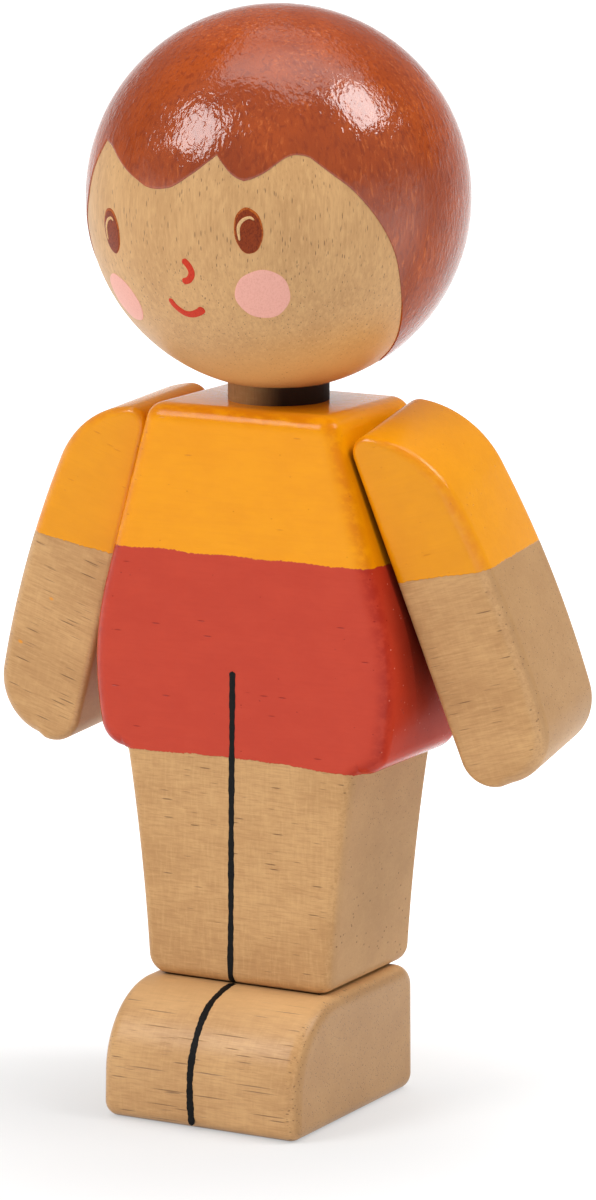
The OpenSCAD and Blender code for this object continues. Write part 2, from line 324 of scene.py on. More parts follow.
def curve_through(points, step):
    """Points along a smooth curve through the given ones, at most step apart."""
    path = [Vector(p) for p in points]
    path = [2 * path[0] - path[1]] + path + [2 * path[-1] - path[-2]]
    found = []
    for a, b, c, d in zip(path, path[1:], path[2:], path[3:]):
        pieces = max(2, math.ceil((c - b).length / step))
        for i in range(pieces):
            t = i / pieces
            found.append(
                0.5 * (2 * b + (c - a) * t + (2 * a - 5 * b + 4 * c - d) * t ** 2
                       + (3 * b - a - 3 * c + d) * t ** 3)
            )
    return found + [path[-2]]


def stroke_widths(points, width, taper=None):
    """Widths along a stroke with round ends. taper gives a factor for each share of its length."""
    reach = [0.0]
    for a, b in zip(points, points[1:]):
        reach.append(reach[-1] + (b - a).length)
    widths = []
    for along in reach:
        full = width * (taper(along / reach[-1]) if taper else 1)
        near = min(along, reach[-1] - along) / (width / 2)
        end = math.sqrt(max(0.0, 1 - (1 - min(near, 1)) ** 2))
        widths.append(max(full * end, 0.02))
    return widths


def build(name, shape, material, body, replaced=None, place=Matrix.Identity(4)):
    """A piece from points and faces in millimetres, riding on a body."""
    points, faces = shape
    mesh = bpy.data.meshes.new(name)
    mesh.from_pydata([p * MM for p in points], [], faces)
    mesh.validate()
    mesh.materials.append(material)
    mesh.polygons.foreach_set("use_smooth", [True] * len(mesh.polygons))
    mesh.set_sharp_from_angle(angle=math.radians(SHARP_ANGLE))
    piece = bpy.data.objects.new(name, mesh)
    bpy.context.scene.collection.objects.link(piece)
    piece.matrix_world = place
    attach(piece, body)
    if replaced:
        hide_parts(replaced)
    return piece


# Materials

class Surface:
    """A material's node tree, with short calls for the nodes used here."""

    def __init__(self, name):
        self.material = bpy.data.materials.new(name)
        self.material.use_nodes = True
        self.tree = self.material.node_tree
        self.tree.nodes.clear()
        self.shader = self.node("ShaderNodeBsdfPrincipled")
        output = self.node("ShaderNodeOutputMaterial")
        self.tree.links.new(self.shader.outputs["BSDF"], output.inputs["Surface"])
        coords = self.node("ShaderNodeTexCoord").outputs["Object"]
        self.point = self.vector("MULTIPLY", coords, (1 / MM,) * 3)

    def node(self, kind, **settings):
        made = self.tree.nodes.new(kind)
        for key, value in settings.items():
            setattr(made, key, value)
        return made

    def set(self, socket, value):
        if isinstance(value, bpy.types.NodeSocket):
            self.tree.links.new(value, socket)
        else:
            socket.default_value = value

    def math(self, operation, a, b=0.0, clamp=False):
        made = self.node("ShaderNodeMath", operation=operation, use_clamp=clamp)
        self.set(made.inputs[0], a)
        self.set(made.inputs[1], b)
        return made.outputs[0]

    def vector(self, operation, a, b):
        made = self.node("ShaderNodeVectorMath", operation=operation)
        self.set(made.inputs[0], a)
        self.set(made.inputs[1], b)
        return made.outputs[0]

    def axis(self, name):
        made = self.node("ShaderNodeSeparateXYZ")
        self.set(made.inputs[0], self.point)
        return made.outputs[name]

    def stretched(self, across, along, grain, shift=0.0):
        """The point scaled to features per millimetre, fewer along the grain."""
        scale = [across] * 3
        scale["XYZ".index(grain)] = along
        moved = self.vector("ADD", self.point, (shift, 1.7 * shift, 2.3 * shift))
        return self.vector("MULTIPLY", moved, scale)

    def noise(self, point, detail=2.0, roughness=0.5, distortion=0.0):
        made = self.node("ShaderNodeTexNoise")
        self.set(made.inputs["Vector"], point)
        made.inputs["Scale"].default_value = 1.0
        made.inputs["Detail"].default_value = detail
        made.inputs["Roughness"].default_value = roughness
        made.inputs["Distortion"].default_value = distortion
        return made.outputs["Fac"]

    def dashes(self, point, width, share):
        """1 on short dashes or dots, 0 between them. share is the part of the cells that hold one."""
        made = self.node("ShaderNodeTexVoronoi")
        self.set(made.inputs["Vector"], point)
        made.inputs["Scale"].default_value = 1.0
        mark = self.between(made.outputs["Distance"], width, 0.35 * width)
        picked = self.math("LESS_THAN", self.channel(made.outputs["Color"]), share)
        return self.math("MULTIPLY", mark, picked)

    def channel(self, colour):
        made = self.node("ShaderNodeSeparateColor")
        self.set(made.inputs[0], colour)
        return made.outputs[0]

    def between(self, value, low, high, to_low=0.0, to_high=1.0):
        """value mapped smoothly from low..high to to_low..to_high."""
        made = self.node("ShaderNodeMapRange", interpolation_type="SMOOTHSTEP")
        for socket, number in zip(made.inputs[:5], (value, low, high, to_low, to_high)):
            self.set(socket, number)
        return made.outputs[0]

    def mix(self, factor, a, b, blend="MIX"):
        made = self.node("ShaderNodeMix", data_type="RGBA", blend_type=blend)
        self.set(made.inputs["Factor"], factor)
        self.set(made.inputs[6], a)
        self.set(made.inputs[7], b)
        return made.outputs[2]

    def bump(self, height, depth_mm, strength):
        made = self.node("ShaderNodeBump")
        made.inputs["Strength"].default_value = strength
        made.inputs["Distance"].default_value = depth_mm * MM
        self.set(made.inputs["Height"], height)
        self.set(self.shader.inputs["Normal"], made.outputs[0])

    def slope(self, axis):
        """How far the surface faces along an axis, from -1 to 1."""
        made = self.node("ShaderNodeSeparateXYZ")
        self.set(made.inputs[0], self.node("ShaderNodeTexCoord").outputs["Normal"])
        return made.outputs[axis]

    def facing(self, axis):
        """1 on faces square to an axis, 0 on faces along it."""
        return self.between(self.math("ABSOLUTE", self.slope(axis)), 0.6, 0.92)

    def edge(self, axis):
        """1 half way round the edges of the faces square to an axis, 0 on flat faces."""
        slope = self.slope(axis)
        square = self.math("MULTIPLY", slope, slope)
        rest = self.math("SUBTRACT", 1.0, square)
        return self.math("MULTIPLY", self.math("MULTIPLY", square, rest), 4.0)

    def rim(self):
        """0 where the surface is seen square on, 1 where it is seen edge on."""
        made = self.node("ShaderNodeLayerWeight")
        made.inputs["Blend"].default_value = 0.5
        return made.outputs["Facing"]

    def finish(self, colour, roughness, specular):
        self.set(self.shader.inputs["Base Color"], colour)
        self.set(self.shader.inputs["Roughness"], roughness)
        self.set(self.shader.inputs["Specular IOR Level"], specular)
        return self.material


WOOD_PALE = srgb(222, 178, 124)
WOOD_LIGHT = srgb(210, 164, 111)
WOOD_DARK = srgb(192, 146, 96)
WOOD_FIBRE = srgb(172, 125, 79)
WOOD_PORE = srgb(92, 60, 38)
WOOD_END = srgb(192, 155, 118)
WOOD_END_DEEP = srgb(168, 128, 84)
PAINTED_TOP_LIGHT_WOOD = srgb(240, 192, 134)
SHIRT_REFLECTION_WARM = srgb(226, 156, 62)
CONTACT_SHADE_DARK = srgb(46, 30, 20)
NECK_PAINTED_SHADE = srgb(30, 14, 10)
YELLOW = srgb(246, 159, 6)
YELLOW_DEEP = srgb(239, 150, 6)
SLEEVE_YELLOW = srgb(237, 154, 12)
SLEEVE_DEEP = srgb(229, 146, 12)
YELLOW_EDGE = srgb(222, 124, 6)
RED = srgb(197, 64, 40)
RED_DEEP = srgb(190, 58, 36)
RED_EDGE = srgb(170, 42, 26)
RED_PAINTED_GLINT = srgb(226, 140, 118)
SCRATCH_SHADE = srgb(222, 205, 205)
PAINTED_SHADE_DARK = srgb(64, 22, 14)
HAIR = srgb(166, 70, 18)
HAIR_DEEP = srgb(132, 48, 12)
HAIR_PALE_AND_GLINT = srgb(206, 106, 46)
INK = srgb(9, 8, 8)
INK_GREY = srgb(22, 20, 19)
EYE_BROWN = srgb(138, 56, 20)
EYE_DEEP = srgb(106, 38, 14)
EYE_RIM = srgb(184, 96, 34)
EYE_SHINE = srgb(222, 180, 128)
LIP_RED = srgb(206, 58, 34)
LIP_DEEP = srgb(188, 46, 28)
CHEEK_PINK = srgb(240, 178, 162)
CHEEK_DEEP = srgb(232, 166, 152)

# How much paler the face is than the other wood, and how soft a paint line is
FACE_PALE = 0.18
PAINT_BLUR = 0.04

# The painted shade in the gap beside an arm: its strength at the arm's front edge, ahead of it and on the
# arm's inner face, how far it reaches ahead and behind, and how far the edge runs back per millimetre below
# the peg
SHADE_AT_EDGE = 0.6
SHADE_AHEAD = 0.4
SHADE_INNER = 0.5
SHADE_REACH_AHEAD = 3.2
SHADE_FULL_BEHIND = 2.0
SHADE_REACH_BEHIND = 5.5
ARM_EDGE_RUN = 0.173


def wood_layers(s, grain, shift, pore_length=1.0, pores=0.5, streaks=0.42, sanded=0.7, end_colour=None,
                pores_across=3.0, woven=1.0, pore_dark=0.6):
    """Colour and height of lacquered light wood, with pores along the grain and duller ends."""
    clouds = s.noise(s.stretched(0.3, 0.16, grain, shift), 3.0)
    fibres = s.noise(s.stretched(8.0, 0.55, grain, shift), 3.0, 0.6)
    weave = s.noise(s.stretched(3.6, 0.7, grain, shift), 3.0, 0.6)
    sanding = s.noise(s.stretched(0.6, 3.6, grain, shift), 3.0, 0.65, 0.4)
    colour = s.mix(s.between(clouds, 0.25, 0.75), WOOD_LIGHT, WOOD_DARK)
    colour = s.mix(s.between(fibres, 0.42, 0.72, 0.0, streaks), colour, WOOD_FIBRE)
    colour = s.mix(s.between(weave, 0.48, 0.7, 0.0, 0.2 * woven), colour, WOOD_FIBRE)
    colour = s.mix(s.between(weave, 0.5, 0.3, 0.0, 0.26 * woven), colour, WOOD_PALE)
    colour = s.mix(s.between(sanding, 0.48, 0.68, 0.0, 0.22 * sanded), colour, WOOD_FIBRE)
    colour = s.mix(s.between(sanding, 0.5, 0.32, 0.0, 0.3 * sanded), colour, WOOD_PALE)
    along = 0.3 / pore_length
    short = s.dashes(s.stretched(pores_across, along, grain, shift + 11), 0.19, pores)
    fine = s.dashes(s.stretched(6.0, 1.4 * along, grain, shift + 23), 0.2, 0.6 * pores)
    pore = s.math("MAXIMUM", short, s.math("MULTIPLY", fine, 0.6))
    end = s.facing(grain)
    dots = s.dashes(s.stretched(1.7, 0.25, grain, shift + 37), 0.18, 0.25)
    pore = s.math("MAXIMUM", pore, s.math("MULTIPLY", dots, end))
    pore = s.math("MULTIPLY", pore, 1.25, clamp=True)
    colour = s.mix(s.math("MULTIPLY", end, 0.6), colour, end_colour or WOOD_END)
    colour = s.mix(s.math("MULTIPLY", pore, pore_dark), colour, WOOD_PORE)
    height = s.math("SUBTRACT", s.math("MULTIPLY", fibres, 0.25), pore)
    return colour, height


def paint_layers(s, light, deep, worn, grain, shift, scratched=0.35, edge_wear=0.8):
    """Colour and height of gloss paint brushed over the grain, worn in patches along the edges."""
    cloud = s.noise(s.stretched(0.5, 0.3, grain, shift), 4.0, 0.6)
    specks = s.dashes(s.stretched(2.4, 1.2, grain, shift + 5), 0.12, 0.12)
    scratches = s.dashes(s.stretched(1.3, 0.2, grain, shift + 9), 0.1, 1.0)
    lines = s.noise(s.stretched(5.0, 0.3, grain, shift + 21), 3.0, 0.6)
    cover = s.noise(s.stretched(1.1, 0.6, grain, shift + 15), 4.0, 0.65)
    patches = s.between(cover, 0.36, 0.6, 0.2 * edge_wear, edge_wear)
    colour = s.mix(s.between(cloud, 0.3, 0.7, 0.0, 0.6), light, deep)
    colour = s.mix(s.between(lines, 0.45, 0.7, 0.0, 0.35), colour, deep)
    colour = s.mix(s.math("MULTIPLY", s.edge("Y"), patches), colour, worn)
    dark = s.mix(1.0, worn, SCRATCH_SHADE, "MULTIPLY")
    colour = s.mix(s.math("MULTIPLY", s.math("MAXIMUM", specks, scratches), scratched), colour, dark)
    peel = s.noise(s.stretched(3.2, 1.2, grain, shift), 4.0, 0.65)
    marks = s.math("MAXIMUM", specks, s.math("MULTIPLY", scratches, 0.7))
    return colour, s.math("SUBTRACT", s.math("MULTIPLY", peel, 0.8), marks)


WOOD_ROUGHNESS = 0.42
FEET_ROUGHNESS = 0.36
NECK_ROUGHNESS = 0.6
PAINT_ROUGHNESS = 0.17
TOP_ROUGHNESS = 0.06
HAIR_ROUGHNESS = 0.08
FILM_ROUGHNESS = 0.4
DULL_FILM_ROUGHNESS = 0.45
INK_ROUGHNESS = 0.6
WOOD_SPECULAR = 0.25
FEET_SPECULAR = 0.3
NECK_SPECULAR = 0.05
PAINT_SPECULAR = 0.2
TOP_SPECULAR = 0.9
SIDE_SPECULAR = 0.03
EDGE_SPECULAR = 0.42
HAIR_SPECULAR = 0.65
HAIR_RIM_SPECULAR = 0.2
FILM_SPECULAR = 0.15

# Fine relief: its depth in millimetres, and its strength
WOOD_BUMP = (0.03, 0.6)
PAINT_BUMP = (0.035, 0.8)
HAIR_BUMP = (0.07, 0.8)
FILM_BUMP = (0.02, 0.5)


def painted_above(s, height, level):
    """1 above a paint line, 0 below it."""
    return s.between(height, level - PAINT_BLUR, level + PAINT_BLUR)


def uneven_line(s, shift, wander, ragged):
    """How far a hand-painted line strays, in slow waves and in a fine ragged edge, in millimetres."""
    waves = s.math("SUBTRACT", s.noise(s.stretched(0.3, 0.3, "X", shift)), 0.5)
    edge = s.math("SUBTRACT", s.noise(s.stretched(4.0, 4.0, "X"), 1.0), 0.5)
    return s.math("ADD", s.math("MULTIPLY", waves, wander), s.math("MULTIPLY", edge, ragged))


def arm_shade(s, side):
    """Painted shade on the torso beside an arm. side is 1 on the torso's side faces."""
    z = s.axis("Z")
    below_peg = s.math("SUBTRACT", SHOULDER_PIVOT.z, z)
    arm_front = s.math("SUBTRACT", s.math("MULTIPLY", below_peg, ARM_EDGE_RUN), ARM_DEPTH / 2 - 0.4)
    behind_edge = s.math("SUBTRACT", s.axis("Y"), arm_front)
    at_edge = s.between(behind_edge, -0.15, 0.3, 0.0, SHADE_AT_EDGE)
    at_edge = s.math("MULTIPLY", at_edge, s.between(z, BODY_TOP_Z - 2.0, BODY_TOP_Z - 4.0))
    ahead = s.between(behind_edge, -SHADE_REACH_AHEAD, 0.0, 0.0, SHADE_AHEAD)
    ahead = s.math("MULTIPLY", ahead, s.between(z, SHIRT_Z, SHIRT_Z - 7.0))
    above_hip = s.between(z, HIP_Z - 4.5, HIP_Z + 3.0, 0.1, 1.0)
    beside = s.between(behind_edge, SHADE_REACH_BEHIND, SHADE_FULL_BEHIND)
    within = s.math("MULTIPLY", side, s.math("MULTIPLY", above_hip, beside))
    return s.math("MULTIPLY", s.math("MAXIMUM", at_edge, ahead), within)


def body_material():
    """Yellow shirt and red shorts painted on the block, with bare legs."""
    s = Surface("painted_body")
    wood, wood_height = wood_layers(s, "X", 3.0, pores=0.35)
    # Painted shade: the legs' wood darkens just above the feet
    shade_near_feet = s.between(s.axis("Z"), FEET_H + 0.28, FEET_H + 0.06)
    wood = s.mix(s.math("MULTIPLY", shade_near_feet, 0.85), wood, CONTACT_SHADE_DARK)
    yellow, yellow_height = paint_layers(s, YELLOW, YELLOW_DEEP, YELLOW_EDGE, "X", 7.0)
    red, red_height = paint_layers(s, RED, RED_DEEP, RED_EDGE, "X", 13.0, scratched=0.85)
    side = s.facing("X")
    # Painted glints: pale flecks on the red side faces
    flecks = s.dashes(s.stretched(1.5, 1.1, "X", 27.0), 0.13, 0.9)
    red = s.mix(s.math("MULTIPLY", flecks, s.math("MULTIPLY", side, 0.8)), red, RED_PAINTED_GLINT)
    height = s.math("ADD", s.axis("Z"), uneven_line(s, 0.0, 0.5, 0.22))
    shirt = painted_above(s, height, SHIRT_Z)
    across = s.math("DIVIDE", s.axis("X"), HIP_W / 2)
    arch = s.math("SUBTRACT", HEM_ARCH, s.math("MULTIPLY", s.math("MULTIPLY", across, across), HEM_ARCH))
    painted = painted_above(s, s.math("SUBTRACT", height, arch), HEM_PAINT_Z)
    # Painted shade beside the arms darkens the shirt and shorts
    paint = s.mix(arm_shade(s, side), s.mix(shirt, red, yellow), PAINTED_SHADE_DARK)
    film = s.math("ADD", s.math("MULTIPLY", painted, 1.2), s.math("MULTIPLY", shirt, 0.6))
    relief = s.mix(painted, wood_height, s.mix(shirt, red_height, yellow_height))
    s.bump(s.math("ADD", relief, film), *PAINT_BUMP)
    top = s.between(s.slope("Z"), 0.8, 0.97)
    gloss = s.between(top, 0.0, 1.0, PAINT_ROUGHNESS, TOP_ROUGHNESS)
    roughness = s.between(painted, 0.0, 1.0, WOOD_ROUGHNESS, gloss)
    sheen = s.between(side, 0.0, 1.0, PAINT_SPECULAR, SIDE_SPECULAR)
    specular = s.between(top, 0.0, 1.0, sheen, TOP_SPECULAR)
    return s.finish(s.mix(painted, wood, paint), roughness, specular)


def arm_material(name, side, shift, sleeve_end):
    """A yellow sleeve painted on an arm of bare wood. side is 1 for the left arm and -1 for the right."""
    s = Surface(name)
    wood, wood_height = wood_layers(
        s, "X", shift, pore_length=1.6, streaks=0.45, sanded=0.4, end_colour=WOOD_END_DEEP)
    yellow, paint_height = paint_layers(
        s, SLEEVE_YELLOW, SLEEVE_DEEP, YELLOW_EDGE, "X", shift + 29, edge_wear=0.55)
    end_z, outward, backward = sleeve_end
    drop = s.math("MULTIPLY", s.math("ABSOLUTE", s.axis("X")), outward)
    drop = s.math("ADD", drop, s.math("MULTIPLY", s.axis("Y"), backward))
    height = s.math("ADD", s.math("ADD", s.axis("Z"), drop), uneven_line(s, shift, 0.4, 0.2))
    sleeve = painted_above(s, height, end_z)
    specks = s.dashes(s.stretched(0.8, 0.5, "X", 61.0), 0.16, 0.1)
    wood = s.mix(s.math("MULTIPLY", specks, 0.7), wood, YELLOW_DEEP)
    # Painted shade on the arm's upper inner face, next to the torso
    inner = s.between(s.math("MULTIPLY", s.slope("X"), -side), 0.55, 0.95, 0.0, SHADE_INNER)
    inner = s.math("MULTIPLY", inner, s.between(s.axis("Z"), -16.0, -9.0))
    colour = s.mix(inner, s.mix(sleeve, wood, yellow), PAINTED_SHADE_DARK)
    relief = s.math("ADD", s.mix(sleeve, wood_height, paint_height), s.math("MULTIPLY", sleeve, 1.2))
    s.bump(relief, *PAINT_BUMP)
    roughness = s.between(sleeve, 0.0, 1.0, WOOD_ROUGHNESS, PAINT_ROUGHNESS)
    return s.finish(colour, roughness, s.between(s.edge("Y"), 0.1, 0.8, PAINT_SPECULAR, EDGE_SPECULAR))


def wood_material(name, grain, shift):
    """Plain bare wood."""
    s = Surface(name)
    colour, height = wood_layers(s, grain, shift)
    s.bump(height, *WOOD_BUMP)
    return s.finish(colour, WOOD_ROUGHNESS, WOOD_SPECULAR)


def feet_material():
    """Wood with longer pores; painted light on top, painted shade under the legs and along the sole."""
    s = Surface("feet_wood")
    colour, height = wood_layers(s, "X", 77.0, pore_length=1.5, sanded=0.5, end_colour=WOOD_END_DEEP)
    # Painted light: the top faces paler, as if lit from above
    painted_top_light = s.between(s.slope("Z"), 0.6, 0.99, 0.0, 0.45)
    colour = s.mix(painted_top_light, colour, PAINTED_TOP_LIGHT_WOOD)
    lines = s.dashes(s.stretched(3.4, 0.1, "X", 5.0), 0.22, 0.75)
    colour = s.mix(s.math("MULTIPLY", lines, 0.6), colour, WOOD_PORE)
    height = s.math("SUBTRACT", height, lines)
    # Painted shade where the legs stand on the feet and along the sole
    beyond_x = s.math("SUBTRACT", s.math("ABSOLUTE", s.axis("X")), LEG_BOTTOM_W / 2 - LEG_CORNER_R)
    beyond_y = s.math("SUBTRACT", s.math("ABSOLUTE", s.axis("Y")), BODY_DEPTH / 2 - LEG_EDGE_R)
    under = s.between(s.math("MAXIMUM", beyond_x, beyond_y), 0.55, 0.3)
    under = s.math("MULTIPLY", under, s.between(s.axis("Z"), FEET_H - 1.0, FEET_H - 0.6))
    sole = s.between(s.axis("Z"), 0.35, 0.05, 0.0, 0.6)
    colour = s.mix(s.math("MAXIMUM", s.math("MULTIPLY", under, 0.85), sole), colour, CONTACT_SHADE_DARK)
    s.bump(height, *WOOD_BUMP)
    return s.finish(colour, FEET_ROUGHNESS, FEET_SPECULAR)


def ball_material():
    """Wood with the grain upright, warmer towards the shirt in a painted reflection of it."""
    s = Surface("ball_wood")
    colour, height = wood_layers(
        s, "Z", 91.0, pore_length=0.55, pores=1.0, streaks=0.4, sanded=0.1, pores_across=3.8, woven=1.7,
        pore_dark=0.85)
    colour = s.mix(FACE_PALE, colour, WOOD_PALE)
    # Painted reflection: the shirt's warm light on the lower ball
    lower = s.math("SUBTRACT", s.axis("Z"), s.math("MULTIPLY", s.axis("X"), 0.25))
    painted_shirt_reflection = s.between(lower, -0.62 * HEAD_R, -1.0 * HEAD_R, 0.0, 0.5)
    s.bump(height, *WOOD_BUMP)
    return s.finish(s.mix(painted_shirt_reflection, colour, SHIRT_REFLECTION_WARM), WOOD_ROUGHNESS, WOOD_SPECULAR)


def neck_material():
    """Dowel wood with painted shade, darker towards the doll's left and back."""
    s = Surface("neck_wood")
    colour, height = wood_layers(s, "Z", 55.0)
    # Painted shade under the head, deepest towards the doll's left and back
    around = s.math("ADD", s.axis("X"), s.math("MULTIPLY", s.axis("Y"), 0.55))
    neck_shade = s.between(around, -4.4, 0.6, 0.2, 0.98)
    s.bump(height, *WOOD_BUMP)
    return s.finish(s.mix(neck_shade, colour, NECK_PAINTED_SHADE), NECK_ROUGHNESS, NECK_SPECULAR)


def hair_material():
    """Brown lacquer brushed thickly over the ball, with a few paler streaks, partly painted glints."""
    s = Surface("hair_lacquer")
    cloud = s.noise(s.stretched(0.2, 0.2, "Z"), 3.0)
    strokes = s.noise(s.stretched(2.8, 0.8, "Z", 9.0), 2.0, 0.5, 0.5)
    peel = s.noise(s.stretched(1.7, 1.2, "Z", 17.0), 2.0, 0.5, 0.8)
    flecks = s.dashes(s.stretched(1.6, 0.6, "Z", 43.0), 0.3, 0.3)
    calm = s.between(s.noise(s.stretched(0.22, 0.22, "Z", 31.0), 2.0), 0.35, 0.65, 0.45, 1.0)
    brushed = s.noise(s.stretched(3.4, 0.5, "Z", 57.0), 3.0, 0.6, 0.5)
    pale_and_glint_patches = s.between(s.noise(s.stretched(0.16, 0.16, "Z", 71.0), 2.0), 0.4, 0.65, 0.1, 0.6)
    colour = s.mix(s.between(cloud, 0.3, 0.7, 0.0, 0.6), HAIR, HAIR_DEEP)
    colour = s.mix(s.between(strokes, 0.48, 0.7, 0.0, 0.7), colour, HAIR_DEEP)
    # Paler streaks along the brush strokes, partly painted glints
    colour = s.mix(s.math("MULTIPLY", s.between(brushed, 0.52, 0.72), pale_and_glint_patches), colour, HAIR_PALE_AND_GLINT)
    height = s.math("ADD", s.math("ADD", peel, strokes), s.math("MULTIPLY", flecks, 0.35))
    s.bump(s.math("MULTIPLY", height, calm), *HAIR_BUMP)
    specular = s.between(s.rim(), 0.24, 0.42, HAIR_SPECULAR, HAIR_RIM_SPECULAR)
    return s.finish(colour, HAIR_ROUGHNESS, specular)


def film_material(name, light, deep, roughness):
    """A thin brushed or printed film of one paint."""
    s = Surface(name)
    grain = s.noise(s.stretched(9.0, 5.0, "Z"), 3.0, 0.6)
    colour = s.mix(s.between(grain, 0.4, 0.7), light, deep)
    s.bump(grain, *FILM_BUMP)
    return s.finish(colour, roughness, FILM_SPECULAR)


# Pieces

def front_slab(x, y, z):
    """Stands a slab up so that its outline is seen from the front."""
    return Vector((x, -z, y))


def side_slab(x, y, z):
    """Stands a slab up so that its outline is seen from the doll's left."""
    return Vector((z, x, y))


body_paint = body_material()
left_arm_paint = arm_material("left_arm_paint", 1, 41.0, LEFT_SLEEVE)
right_arm_paint = arm_material("right_arm_paint", -1, 67.0, RIGHT_SLEEVE)
feet_wood = feet_material()
ball_wood = ball_material()
dowel_wood = wood_material("dowel_wood", "Z", 55.0)
neck_wood = neck_material()

build("body_block", rounded_slab(body_outline(), BODY_DEPTH, front_slab), body_paint,
      "torso", "body")
build("feet_block", rounded_slab(feet_outline(), FEET_W, side_slab), feet_wood,
      "torso", "feet")


def shoulder_place(side, swing):
    """Where an upright arm goes: side is 1 on the doll's left and -1 on its right."""
    leaned = Matrix.Rotation(-math.radians(ARM_LEAN), 4, "Y")
    swung = Matrix.Rotation(-math.radians(swing), 4, "X")
    placed = Matrix.Translation(SHOULDER_PIVOT * MM) @ (leaned @ swung)
    if side > 0:
        return placed
    flip = Matrix.Diagonal((-1, 1, 1, 1))
    return flip @ placed @ flip


def arm_slab(side):
    """An upright arm for one side, with its peg's axis at the origin."""
    def place(x, y, z):
        return Vector((side * x, -z - ARM_FORWARD, y))
    points, faces = rounded_slab(arm_outline(), ARM_DEPTH, place)
    if side < 0:
        faces = [tuple(reversed(face)) for face in faces]
    return points, faces


build("left_arm_block", arm_slab(1), left_arm_paint, "left_arm", "left_arm",
      shoulder_place(1, LEFT_ARM_SWING))
build("right_arm_block", arm_slab(-1), right_arm_paint, "right_arm", "right_arm",
      shoulder_place(-1, RIGHT_ARM_SWING))

head_place = Matrix.Translation((0, 0, HEAD_Z * MM))


def head_ball():
    """The ball with the blind hole for the neck peg."""
    mouth = math.degrees(math.asin(NECK_BORE_R / HEAD_R))
    profile = [(0, HEAD_R)]
    for i in range(1, BALL_ROWS + 1):
        a = math.radians((180 - mouth) * i / BALL_ROWS)
        profile.append((HEAD_R * math.sin(a), HEAD_R * math.cos(a)))
    bore_end = -HEAD_R + NECK_BORE_DEPTH
    return lathe(profile + [(NECK_BORE_R, bore_end), (0, bore_end)])


build("head_ball", head_ball(), ball_wood, "head", "head", head_place)


def on_ball(azimuth, elevation, height=0.0):
    """A point over the ball, azimuth from the front towards the doll's left, in degrees."""
    a = math.radians(azimuth)
    e = math.radians(elevation)
    out = Vector((math.cos(e) * math.sin(a), -math.cos(e) * math.cos(a), math.sin(e)))
    return out * (HEAD_R + height)


# The hairline as (azimuth, elevation) in spans that meet in corners
HAIRLINE = [
    [(-180, -61), (-130, -60), (-105, -58.5), (-89, -55.5), (-78, -44), (-67, -29), (-60, -16),
     (-54.5, -6), (-49.5, 1), (-46.5, 8), (-44.5, 12), (-42, 16), (-39.5, 19.6)],
    [(-39.5, 19.6), (-34, 18), (-28.5, 15), (-23.5, 12.3), (-18, 9.9), (-14, 8.3), (-10.5, 7.8),
     (-6.5, 8.2), (-3.5, 9.1), (2.5, 13), (6, 15.7), (9.8, 18.8)],
    [(9.8, 18.8), (13.6, 14.4), (16, 12.5), (18.7, 11.4)],
    [(18.7, 11.4), (21.6, 12.3), (25, 14), (28, 16.2), (31, 18.2), (33.8, 19.1), (36.6, 18.9),
     (38.6, 18.3)],
    [(38.6, 18.3), (44.3, 13.8), (51.4, 8.2), (59, -0.4), (65.7, -10.6), (71.5, -22.8), (79.3, -36),
     (90.8, -50), (97, -55.6), (115, -59), (140, -60.5), (180, -61)],
]


def hairline_elevation(azimuth):
    """The hairline's elevation at an azimuth, on a smooth curve within each span."""
    span = next(s for s in HAIRLINE if azimuth <= s[-1][0])
    slopes = []
    for i in range(len(span)):
        before = span[max(i - 1, 0)]
        after = span[min(i + 1, len(span) - 1)]
        slopes.append((after[1] - before[1]) / (after[0] - before[0]))
    i = max(k for k in range(len(span) - 1) if span[k][0] <= azimuth)
    (a, e), (b, f) = span[i], span[i + 1]
    width = b - a
    t = (azimuth - a) / width
    start = (2 * t ** 3 - 3 * t ** 2 + 1) * e + (t ** 3 - 2 * t ** 2 + t) * width * slopes[i]
    return start + (3 * t ** 2 - 2 * t ** 3) * f + (t ** 3 - t ** 2) * width * slopes[i + 1]


HAIR_LIFT = 0.07
HAIR_SINK = 0.06
HAIR_STEP = 0.75
HAIR_ROWS = 36

# The film's rounded edge: degrees back from the hairline, and the share of its full height there
HAIR_EDGE = [(0.9, 1.0), (0.55, 0.95), (0.2, 0.7), (0.0, 0.3)]


def hair_shell():
    """A thin lacquer cap over the ball, down to the hairline, closed inside the wood."""
    corners = [span[0][0] for span in HAIRLINE]
    steps = int(360 / HAIR_STEP)
    columns = sorted(set([-180 + HAIR_STEP * i for i in range(steps)] + corners))
    edges = [hairline_elevation(a) for a in columns]
    rows = [((i + 1) / HAIR_ROWS, 0.0, HAIR_LIFT) for i in range(HAIR_ROWS)]
    rows[-1] = (1.0, HAIR_EDGE[0][0], HAIR_LIFT)
    rows += [(1.0, drop, HAIR_LIFT * rise) for drop, rise in HAIR_EDGE[1:]]
    rows.append((1.0, 0.0, -HAIR_SINK))
    rows += [((i + 1) / HAIR_ROWS, 0.0, -HAIR_SINK) for i in reversed(range(HAIR_ROWS - 1))]
    rings = []
    for share, back, height in rows:
        turns = [90 - share * (90 - edge) + back for edge in edges]
        rings.append([on_ball(azimuth, turn, height) for azimuth, turn in zip(columns, turns)])
    return capped_rings(on_ball(0, 90, HAIR_LIFT), rings, on_ball(0, 90, -HAIR_SINK))


build("hair", hair_shell(), hair_material(), "head", place=head_place)


FACE_ROLL = 5.0
FILM_LIFT = 0.03
FILM_SINK = 0.04
PATCH_SIDES = 72
PATCH_ROWS = 12
PATCH_WOBBLE = 0.015
FACE_STEP = 0.06


